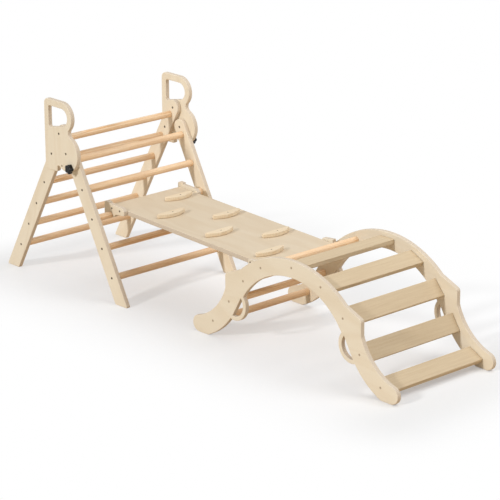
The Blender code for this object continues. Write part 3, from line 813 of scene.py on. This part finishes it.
def headOutline():
    handle, hub = head["handle"], (0.0, 0.0)
    radius, lobe, corner = head["handleRadius"], head["lobe"], head["tailCorner"]
    top = handle[1] + radius
    topLeft, topEnd = (-head["leftEdge"], top), (handle[0], top)
    tailLeft, tailRight = [(x, -head["tailDrop"]) for x in (-head["leftEdge"], head["tailRight"])]
    waist = meetCircles(handle, radius + head["waist"], hub, lobe + head["waist"], 1)
    handleEnd = polar(handle, radius, angleOf(handle, waist))
    lobeStart = polar(hub, lobe, angleOf(hub, waist))
    notchX = head["tailRight"] + corner
    notch = (notchX, -math.sqrt((lobe + corner) ** 2 - notchX ** 2))
    lobeEnd = polar(hub, lobe, angleOf(hub, notch))
    tailUpper = (head["tailRight"], notch[1])
    points = roundCorner(tailLeft, topLeft, topEnd, head["corner"])
    points += arcTo(handle, radius, topEnd, handleEnd)
    points += arcTo(waist, head["waist"], handleEnd, lobeStart, clockwise=False)
    points += arcTo(hub, lobe, lobeStart, lobeEnd)
    points += arcTo(notch, corner, lobeEnd, tailUpper, clockwise=False)
    return points + traced(tailUpper, [(tailRight, corner), (tailLeft, corner)], topLeft)


def handleHole():
    handle = head["handle"]
    radius = head["handleRadius"] - head["wall"]
    left = -head["leftEdge"] + head["wall"]
    top, sill = handle[1] + radius, (left, head["sill"])
    topLeft, topEnd = (left, top), (handle[0], top)
    tangent = angleOf(handle, sill) + math.degrees(math.acos(radius / math.dist(sill, handle)))
    sillEnd = polar(handle, radius, tangent)
    points = roundCorner(sill, topLeft, topEnd, head["gripCorner"])
    points += arcTo(handle, radius, topEnd, sillEnd)
    return points + roundCorner(sillEnd, sill, topLeft, head["gripCorner"])


def bore(place):
    return circle(place, stock["bore"])


headScrews = [leftTop, onward(leftTop, leftDown, head["screwSpacing"])]
sides = (("near", -1), ("far", 1))
leftShown = leftRungs[triangle["leftCovered"]:]
rightShown = rightRungs[triangle["rightCovered"]:]
rungLength = triangle["width"] - 2 * stock["sheet"] - 2 * stock["gap"]
outerY = triangle["width"] / 2 + stock["sheet"] + stock["gap"]
leftScrews, rightScrews, boltEnds = [], [], []
headNodes = [f"head_screw_{label}_{i}" for label, sign in sides for i in (1, 2)]
headNodes += [f"pivot_bolt_{label}" for label, sign in sides]
for label, sign in sides:
    outlines = [headOutline(), handleHole(), bore((0.0, 0.0))]
    outlines += [bore((x, z - pivot[1])) for x, z in headScrews]
    for degrees in (triangle["rightLean"], triangle["rightLean"] - triangle["fold"]):
        lock = onward((0.0, 0.0), lean(degrees), head["lockDistance"])
        outlines.append(circle(lock, head["lockBore"]))
    middleY = sign * (triangle["width"] / 2 + stock["sheet"] / 2 + stock["gap"])
    # Painted light: the far head plate and far legs are painted a paler step
    toneAndLight = head["farPaintedLight"] if sign > 0 else 0.0
    makePlate(f"head_plate_{label}", outlines, standing(setX, middleY, pivot[1]),
              "left_frame", toneAndLight=toneAndLight)
    legY = sign * (triangle["width"] - stock["sheet"]) / 2
    for frameSide, top, down, bored, turnDeg in (
            ("left", leftTop, leftDown, headScrews + leftShown, 90.0 - triangle["leftLean"]),
            ("right", pivot, rightDown, [pivot] + rightShown, 90.0 + triangle["rightLean"])):
        outlines = [legOutline(top, down)] + [bore(place) for place in bored]
        makePlate(f"{frameSide}_leg_{label}", outlines, standing(setX, legY, 0.0),
                  f"{frameSide}_frame", turnDeg, toneAndLight)
    legFace, innerY = sign * triangle["width"] / 2, sign * (triangle["width"] / 2 - stock["sheet"])
    leftScrews += sideways(headScrews + [pivot], setX, sign * outerY, sign)
    boltEnds += sideways(headScrews + [pivot], setX, innerY, -sign)
    leftScrews += sideways(leftShown, setX, legFace, sign)
    rightScrews += sideways(rightShown, setX, legFace, sign)
for frameSide, places in (("left", leftRungs), ("right", rightRungs)):
    for index, (x, z) in enumerate(places):
        makeRod(f"{frameSide}_rung_{index + 1}", x + setX, z, rungLength, f"{frameSide}_frame")
makeScrews("left_frame_screws", leftScrews, "left_frame", headNodes)
makeScrews("left_frame_bolt_ends", boltEnds, "left_frame", length=screwShape["endLength"])
makeScrews("right_frame_screws", rightScrews, "right_frame")
print("triangle made")


# Star knobs on the lock bolts

knob = {
    "diameter": 0.038,
    "height": 0.017,
    "lobes": 5,
    "lobeDepth": 0.0035,
    "crown": 0.0022,  # dome of the top
    "rim": 0.0030,
    "foot": ((0.90, 0.0), (0.985, 0.0004), (1.0, 0.0014)),  # share of the radius, height
    "rimSteps": 5,
    "domeSteps": (0.92, 0.8, 0.66),
    "domeFall": 0.9,
    # The round dimple in the top: radius, depth
    "dimple": ((0.0093, 0.0001), (0.0085, 0.0003), (0.0077, 0.0009), (0.0034, 0.0009)),
    "points": 100,
    "sharp": 55.0,
}


def knobMesh():
    # Rings from the back face, over the lobed side and the rounded rim, to the dimple
    top, reach = knob["height"], knob["diameter"] / 2
    levels = list(knob["foot"]) + [(1.0, top - knob["rim"] - knob["crown"])]
    for i in range(1, knob["rimSteps"] + 1):
        turn = math.pi / 2 * i / knob["rimSteps"]
        shrink = knob["rim"] * (1 - math.cos(turn)) / reach
        levels.append((1.0 - shrink, top - knob["crown"] - knob["rim"] * (1 - math.sin(turn))))
    flat = levels[-1][0]
    levels += [(flat * share, top - knob["crown"] * share ** 4 * knob["domeFall"])
               for share in knob["domeSteps"]]

    def lobed(turn, scale):
        lobe = (1 - math.cos(knob["lobes"] * turn)) / 2
        return (reach - knob["lobeDepth"] * lobe) * scale

    shape, count = bmesh.new(), knob["points"]
    rings = [newRing(shape, lambda turn: lobed(turn, scale), z, count) for scale, z in levels]
    rings += [newRing(shape, radius, top - depth, count) for radius, depth in knob["dimple"]]
    joinRings(shape, rings)
    shape.faces.new(list(reversed(rings[0])))
    shape.faces.new(rings[-1])
    return softened(released(shape), knob["sharp"])


lockX, lockZ = onward(pivot, rightDown, head["lockDistance"])
for label, sign in sides:
    place = placed(lockX + setX, sign * (outerY + stock["gap"]), lockZ, -90.0 * sign)
    node = f"star_knob_{label}"
    settle(knobMesh(), node + "_moulding", place, "black_plastic", f"knob_{label}", [node])
    for node in (f"lock_bolt_{label}", f"lock_insert_{label}"):
        coat(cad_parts[node].data, "zinc_steel")
print("knobs made")


# Arch

def archHalf():
    crown, flare, inner = arch["crownRadius"], arch["flareRadius"], arch["innerRadius"]
    start, summit = arch["shoulderStart"], (0.0, arch["inner"] + arch["band"])
    crownCentre = (0.0, summit[1] - crown)
    crownEnd = (start, crownCentre[1] + math.sqrt(crown ** 2 - start ** 2))
    toeTop = polar(flareCentre, flare, angleOf(flareCentre, toeCentre))
    innerFlare = flare + arch["flareBand"]
    heel = (flareCentre[0] - math.sqrt(innerFlare ** 2 - flareCentre[1] ** 2), 0.0)
    ring, radius = arch["ring"], arch["ringRadius"]
    ringLow = meetCircles(flareCentre, innerFlare, ring, radius, 1)
    ringHigh = meetCircles(innerCentre, inner, ring, radius, 1)
    points = arcTo(crownCentre, crown, summit, crownEnd)
    points += roundCorner(crownEnd, arch["shoulder"], shoulderLow, arch["shoulderRound"])
    points += arcTo(flareCentre, flare, shoulderLow, toeTop, clockwise=False)
    points += arcTo(toeCentre, arch["toe"], toeTop, (toeCentre[0], 0.0))
    points += arcTo(flareCentre, innerFlare, heel, ringLow)
    points += arcTo(ring, radius, ringLow, ringHigh)
    return points + arcTo(innerCentre, inner, ringHigh, (0.0, arch["inner"]), clockwise=False)


def gripHole():
    radius = arch["ringRadius"] - arch["ringWall"]
    spread = math.degrees(math.acos(arch["gripChord"] / radius))
    return arc(arch["ring"], radius, arch["gripTurn"] - spread, arch["gripTurn"] + spread)


half = archHalf()
crossPlaces = archRods + [place for place, tilt in archSteps]
archScrews = []
middleX = archX + setX
for label, sign in sides:
    outlines = [half + mirrored(half), gripHole(), mirrored(gripHole())]
    outlines += [bore(place) for place in crossPlaces]
    panelY = sign * (arch["width"] - stock["sheet"]) / 2
    makePlate(f"arch_panel_{label}", outlines, standing(middleX, panelY, 0.0), "arch", 0.0)
    archScrews += sideways(crossPlaces, middleX, sign * arch["width"] / 2, sign)
crossLength = arch["width"] - 2 * stock["sheet"] - 2 * stock["gap"]
for index, (x, z) in enumerate(archRods):
    makeRod(f"arch_rod_{index + 1}", x + middleX, z, crossLength, "arch")
for index, ((x, z), tilt) in enumerate(archSteps):
    mesh = barMesh((arch["stepWidth"], crossLength, arch["stepThickness"]), arch["stepRound"])
    writeGrain(mesh, axisY, axisX, axisZ)
    node = f"arch_slat_{index + 1}"
    settle(mesh, node + "_wood", placed(middleX + x, 0.0, z, tilt, "Y"), "pine_slat", "arch",
           [node])
makeScrews("arch_screws", archScrews, "arch", finish="dull_steel")
print("arch made")


# Ramp: board, hook plates and holds

rampBase = placed(rampRung[0] + setX, 0.0, rampRung[1], -math.degrees(rampTurn), "Y")
rampBase = rampBase @ placed(0.0, 0.0, nearDrop)
seat = stock["rod"] / 2 + ramp["clearance"]


def hooked(corners, middle, tip, jaw):
    # From the prong's tip around the plate to the jaw and over the rod
    edge = traced((-seat, tip), corners, (seat, jaw)) + [(seat, jaw)]
    return edge + arc((0.0, middle), seat, 0.0, 180.0)


def upperHook():
    middle = -nearDrop - ramp["clearance"] + stock["gap"]
    tip, jaw = middle - ramp["prongDrop"], middle - ramp["jawDrop"]
    crown, shelf = stock["sheet"] + ramp["crownHeight"], stock["sheet"] + ramp["shelfHeight"]
    tight, small = ramp["hookRound"] * 1.15, ramp["clearance"]  # an inner corner outdoes the edge
    wide, foot = ramp["crownRound"], ramp["cornerRound"]
    outerLow, outerHigh = (-ramp["outerReach"], tip), (-ramp["outerReach"], crown)
    crownEnd, shelfStart = (ramp["crownReach"], crown), (ramp["crownReach"], shelf)
    shelfEnd, plateTop = (ramp["shelfReach"], shelf), (ramp["plateReach"], stock["sheet"])
    plateLow, skirt = (ramp["plateReach"], 0.0), (ramp["skirtReach"], -ramp["skirtDrop"])
    jawEnd = (ramp["jawReach"], jaw)
    corners = [(outerLow, foot), (outerHigh, wide), (crownEnd, small), (shelfStart, tight),
               (shelfEnd, wide), (plateTop, small), (plateLow, foot), (skirt, tight),
               (jawEnd, small)]
    last = roundCorner((-seat, middle), (-seat, tip), outerLow, small)
    return hooked(corners, middle, tip, jaw) + last


def lowerHook():
    middle = -ramp["farDrop"] - ramp["clearance"] + stock["gap"]
    tip, jaw = middle - ramp["farProngDrop"], middle - ramp["jawDrop"]
    outer, start = -ramp["farOuterReach"], ramp["farStartReach"]
    outerLow, outerHigh = (outer, tip), (outer, stock["sheet"] + ramp["farCrownHeight"])
    startHigh, startLow = (start, stock["sheet"] + ramp["farStartHeight"]), (start, 0.0)
    jawEnd = (ramp["farJawReach"], jaw)
    wide, tight = ramp["cornerRound"], ramp["farOuterRound"]
    corners = [(outerLow, tight), (outerHigh, tight), (startHigh, wide), (startLow, wide),
               (jawEnd, wide)]
    return hooked(corners, middle, tip, jaw) + [(-seat, tip)]


hookScrews = []
for label, sign in sides:
    innerY = ramp["width"] / 2 + stock["gap"]
    y, faceY = sign * (innerY + stock["sheet"] / 2), sign * (innerY + stock["sheet"])
    for end, shape, places, flip, startX in (
            ("upper", upperHook(), ramp["hookScrews"], 1, 0.0),
            ("lower", lowerHook(), ramp["farHookScrews"], -1, ramp["span"])):
        screwPlaces = [(x * flip, ramp["hookScrewHeight"]) for x in places]
        outlines = [[(x * flip, z) for x, z in shape]] + [bore(place) for place in screwPlaces]
        makePlate(f"{end}_hook_{label}", outlines, rampBase @ standing(startX, y, 0.0),
                  "ramp", turnDeg=0.0, rounding=ramp["hookRound"])
        for x, z in screwPlaces:
            spot = rampBase @ Vector((startX + x, faceY, z))
            hookScrews.append((tuple(spot), (0.0, float(sign), 0.0)))

boardLength = ramp["span"] + 2 * ramp["overhang"]
mesh = barMesh((boardLength, ramp["width"], stock["sheet"]), ramp["round"])
writeGrain(mesh, axisX, axisY, axisZ, ramp["boardTone"])
boardPlace = rampBase @ placed(ramp["span"] / 2, 0.0, stock["sheet"] / 2)
settle(mesh, "ramp_board_wood", boardPlace, "board_plywood", "ramp", ["ramp_board"])


def holdOutline():
    # A slim crescent: two bowed sides that meet in round ends
    points = []
    for side in (1, -1):
        for index in range(ramp["holdPoints"]):
            share = (index + 0.5) / ramp["holdPoints"]
            place = (0.5 - share) * ramp["holdLength"] * side
            bow = ramp["holdBow"] * math.cos(math.pi * place / ramp["holdLength"])
            width = ramp["holdWidth"] / 2 * math.sqrt(math.sin(math.pi * share))
            points.append((bow + width * side, place))
    return points


holdScrews = []
up = rampBase.to_3x3() @ axisZ
pitch = (ramp["span"] - ramp["first"] - ramp["last"]) / (ramp["holds"] - 1)
for index in range(ramp["holds"]):
    side = 1 if index % 2 == 0 else -1
    base = stock["sheet"] + stock["gap"]
    place = Vector((ramp["first"] + pitch * index, side * ramp["side"], base))
    outlines = [holdOutline(), circle((ramp["holdBow"], 0.0), ramp["holdBore"])]
    matrix = rampBase @ placed(*(place + axisZ * ramp["holdHeight"] / 2))
    makePlate(f"ramp_hold_{index + 1}", outlines, matrix, "ramp", finish="hold",
              thickness=ramp["holdHeight"], rounding=ramp["holdRound"],
              steps=ramp["holdSteps"])
    top = rampBase @ (place + Vector((ramp["holdBow"], 0.0, ramp["holdHeight"])))
    holdScrews.append((tuple(top), tuple(up)))
makeScrews("hook_screws", hookScrews, "ramp")
makeScrews("hold_screws", holdScrews, "ramp", head=screwShape["holdHead"])
print("ramp made")


# Floor, light and camera

studio = {
    "floor": (243, 243, 244), "floorRough": 0.6, "floorSize": 30.0,
    "paintedShade": (226, 226, 226),  # painted shade: the floor about the arch's end is painted greyer
    "paintedShadeStart": 0.75, "paintedShadeEnd": 1.25,
    "paintedShadeGlow": 0.7,  # share of the glow that the painted shade takes away
    "bounce": (206, 184, 152),  # the floor's colour in the light that it throws back
    "fadeStart": 0.0,  # metres outside the set, where the floor begins to turn white
    "fadeEnd": 0.9,
    "fadeFront": 2.2,  # the turn is quicker in front
    "fadeLeft": 3.0,  # and past the triangle's end
    "fadeRight": 1.9,  # and past the arch's end
    "glow": 0.42,  # share of white beside the set, which weakens the shadows
    "worldLevel": 0.46,
    "key": 1.58,  # strength of the low light from the near side
    "keyAim": (0.05, 0.894, -0.447),
    "keySpread": 6.0,  # degrees
    "over": 114.0,  # large soft lamp, high behind the set
    "overPlace": (2.4, 1.4, 4.1), "overAim": (0.0, 0.0, 0.2), "overSize": 4.0,
}
plainWhite = (1.0, 1.0, 1.0, 1.0)


def seenDirectly(g):
    # 1 where the camera, a reflection or a clear piece looks straight at it, else 0
    path = g.node("ShaderNodeLightPath")
    outs = path.socket.node.outputs
    seen = g.math("MAXIMUM", path, Signal(g, outs["Is Glossy Ray"]))
    return g.math("MAXIMUM", seen, Signal(g, outs["Is Transmission Ray"]))


def makeFloor():
    mesh = bpy.data.meshes.new("floor")
    reach = studio["floorSize"]
    mesh.from_pydata([(-reach, -reach, 0.0), (reach, -reach, 0.0), (reach, reach, 0.0),
                      (-reach, reach, 0.0)], [], [(0, 1, 2, 3)])
    floor = linked("floor", mesh)
    material, g = newMaterial("paleFloor", studio["floorRough"])
    direct = seenDirectly(g)
    place = g.split(g.node("ShaderNodeTexCoord", output="Object"))
    # Painted shade: the floor past the arch's end is painted greyer, fading out where the floor
    # turns white
    ahead = g.ease(place[0], studio["paintedShadeStart"], studio["paintedShadeEnd"])
    farX = g.math("MAXIMUM", abs(place[0]) - cadBox[1][0], 0.0)
    farX = farX * (studio["fadeRight"] + g.math("LESS_THAN", place[0], 0.0)
                   * (studio["fadeLeft"] - studio["fadeRight"]))
    farY = g.math("MAXIMUM", abs(place[1]) - cadBox[1][1], 0.0)
    farY = farY * (1.0 + g.math("LESS_THAN", place[1], 0.0) * (studio["fadeFront"] - 1.0))
    white = g.ease((farX * farX + farY * farY).root(), studio["fadeStart"], studio["fadeEnd"])
    paintedShade = ahead * (1.0 - white)
    pale = g.blend(paintedShade, studio["floor"], studio["paintedShade"])
    g.feed(g.shader["Base Color"], g.blend(direct, studio["bounce"], pale))
    lit = g.node("ShaderNodeEmission", inputs={"Color": plainWhite})
    share = studio["glow"] + white * (1.0 - studio["glow"])
    share = share * (1.0 - paintedShade * studio["paintedShadeGlow"]) * direct
    matt = Signal(g, g.tree.nodes["Principled BSDF"].outputs[0])
    mixed = g.node("ShaderNodeMixShader", inputs={0: share, 1: matt, 2: lit})
    g.feed(g.tree.nodes["Material Output"].inputs[0], mixed)
    mesh.materials.append(material)


def makeWorld():
    world = bpy.data.worlds.new("studio")
    bpy.context.scene.world = world
    world.use_nodes = True
    g = Graph(world.node_tree)
    level = studio["worldLevel"] + seenDirectly(g) * (1.0 - studio["worldLevel"])
    background = world.node_tree.nodes["Background"]
    background.inputs["Color"].default_value = plainWhite
    g.feed(background.inputs["Strength"], level)


def makeLamp(name, kind, place, aim, **values):
    lamp = bpy.data.lights.new(name, kind)
    assign(lamp, **values)
    turn = (Vector(aim) - Vector(place)).to_track_quat("-Z", "Y")
    assign(linked(name, lamp), location=place, rotation_euler=turn.to_euler())


view = {
    "place": (6.331, -5.717, 3.052),
    "azimuth": 47.647,
    "elevation": 18.220,
    "roll": -0.173,
    "lens": 175.14,
    "shift": (-0.0022, 0.0008),
    "sensor": 36.0,
}


def makeCamera():
    data = bpy.data.cameras.new("view")
    assign(data, sensor_width=view["sensor"], lens=view["lens"])
    data.shift_x, data.shift_y = view["shift"]
    camera = linked("view", data)
    level = placed(*view["place"], view["azimuth"], "Z")
    tipped = placed(0.0, 0.0, 0.0, 90.0 - view["elevation"])
    camera.matrix_world = level @ tipped @ placed(0.0, 0.0, 0.0, view["roll"], "Z")
    bpy.context.scene.camera = camera


makeFloor()
makeWorld()
makeLamp("key", "SUN", (0.0, 0.0, 0.0), studio["keyAim"],
         energy=studio["key"], angle=math.radians(studio["keySpread"]))
makeLamp("overhead", "AREA", studio["overPlace"], studio["overAim"],
         energy=studio["over"], shape="DISK", size=studio["overSize"])
makeCamera()
bpy.context.scene.view_settings.view_transform = "Standard"
print("stage made")
